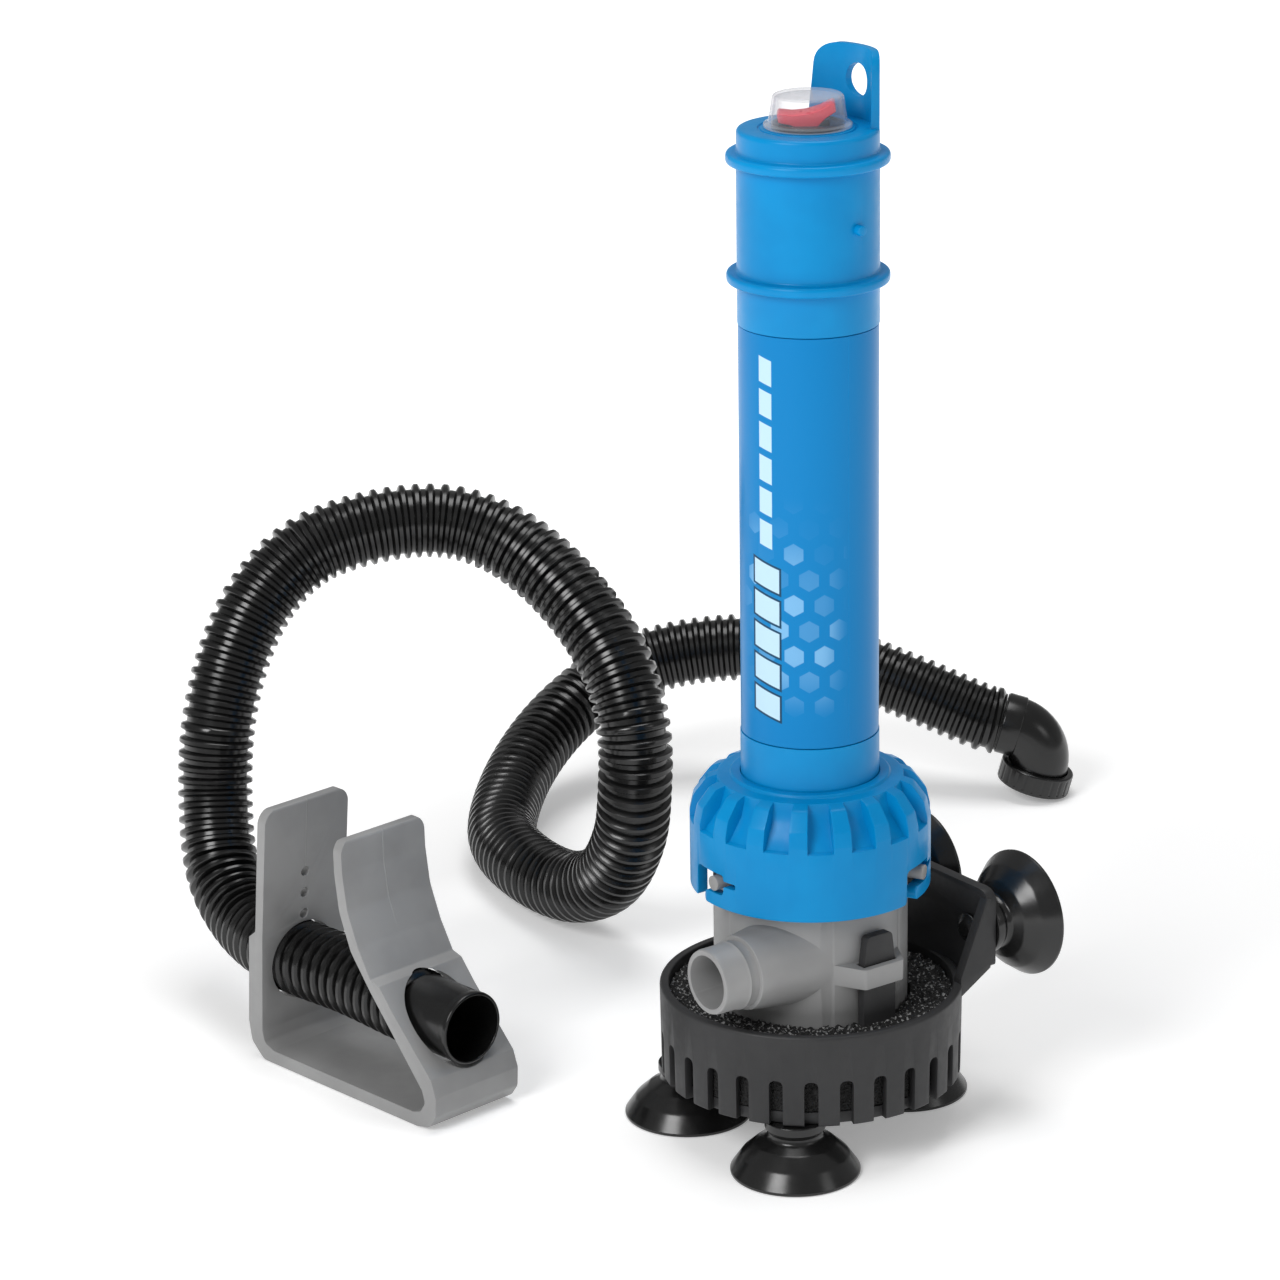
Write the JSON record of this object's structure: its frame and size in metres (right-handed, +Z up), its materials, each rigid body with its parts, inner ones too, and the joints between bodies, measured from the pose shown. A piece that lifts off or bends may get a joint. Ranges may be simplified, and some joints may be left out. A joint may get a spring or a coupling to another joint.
{
  "type": "bilge pump",
  "caption": "Portable bilge pump with blue battery tube, bayonet collar, slotted suction-cup base, foam strainer, rocker switch, and corrugated hose with gunwale clip.",
  "frame": {"origin": "on the floor under the middle of the box round the pump and its base; the hose set lies outside that box", "axes": "+Z up along the pump's axis, -Y the way the discharge nozzle points, +Y the side of the wall bracket and its suction cups"},
  "size_m": [0.3451, 0.3734, 0.3375],
  "materials": {
    "blue_abs": "satin",
    "printed_vinyl_label": "gloss",
    "grey_abs": "satin",
    "charcoal_abs": "matte",
    "black_pvc_cup": "satin",
    "black_foam": "open cell",
    "black_polyethylene": "satin",
    "black_nylon": "satin",
    "nitrile_rubber": "matte",
    "red_nylon": "satin",
    "clear_pvc": "gloss",
    "cell_jacket": "satin",
    "zinc_plated_steel": "bright",
    "brass_contact": "bright"
  },
  "bodies": {
    "base": {"strainer_basket": "charcoal_abs", "foam_filter": "black_foam", "floor_cup_1": "black_pvc_cup", "floor_cup_2": "black_pvc_cup", "floor_cup_3": "black_pvc_cup", "wall_cup_1": "black_pvc_cup", "wall_cup_2": "black_pvc_cup", "hose_clip": "grey_abs", "discharge_hose": "black_polyethylene", "hose_cuff": "black_polyethylene", "hose_elbow": "black_polyethylene"},
    "pump": {"pump_housing": "grey_abs", "intake_cover": "grey_abs", "cover_screw_1": "zinc_plated_steel", "cover_screw_2": "zinc_plated_steel", "cover_screw_3": "zinc_plated_steel", "shaft_seal": "nitrile_rubber", "housing_seal": "nitrile_rubber", "motor_can": "zinc_plated_steel", "motor_end_cap": "black_nylon", "motor_screw_1": "zinc_plated_steel", "motor_screw_2": "zinc_plated_steel", "battery_tube": "blue_abs", "label_wrap": "printed_vinyl_label", "cell_1": "cell_jacket", "cell_2": "cell_jacket", "cell_3": "cell_jacket", "bottom_contact": "brass_contact", "top_contact": "brass_contact", "contact_strip": "brass_contact", "contact_spring": "zinc_plated_steel", "top_cap": "blue_abs", "cap_gasket": "nitrile_rubber", "switch_body": "black_nylon", "switch_boot": "clear_pvc"},
    "collar": {"locking_collar": "blue_abs"},
    "rocker": {"switch_rocker": "red_nylon"},
    "rotor": {"motor_shaft": "zinc_plated_steel", "impeller": "black_nylon"},
    "nut": {"swivel_nut": "black_polyethylene", "nut_washer": "nitrile_rubber"}
  },
  "joints": [
    {"name": "pump_lift", "type": "slide", "parent": "base", "child": "pump", "axis": [0, 0, 1], "range_m": [0, 0.09]},
    {"name": "collar_turn", "type": "hinge", "parent": "pump", "child": "collar", "pos_m": [0, -0.0078, 0.098], "axis": [0, 0, 1], "range_deg": [0, 11.5]},
    {"name": "switch_rock", "type": "hinge", "parent": "pump", "child": "rocker", "pos_m": [0, -0.0078, 0.3185], "axis": [-0.788, 0.6157, 0], "range_deg": [0, 22]},
    {"name": "impeller_spin", "type": "hinge", "parent": "pump", "child": "rotor", "pos_m": [0, -0.0078, 0.06], "axis": [0, 0, 1], "continuous": true},
    {"name": "nut_spin", "type": "hinge", "parent": "base", "child": "nut", "pos_m": [-0.17856, 0.23791, 0.00373], "axis": [0.1801, 0.1859, 0.9659], "continuous": true}
  ]
}
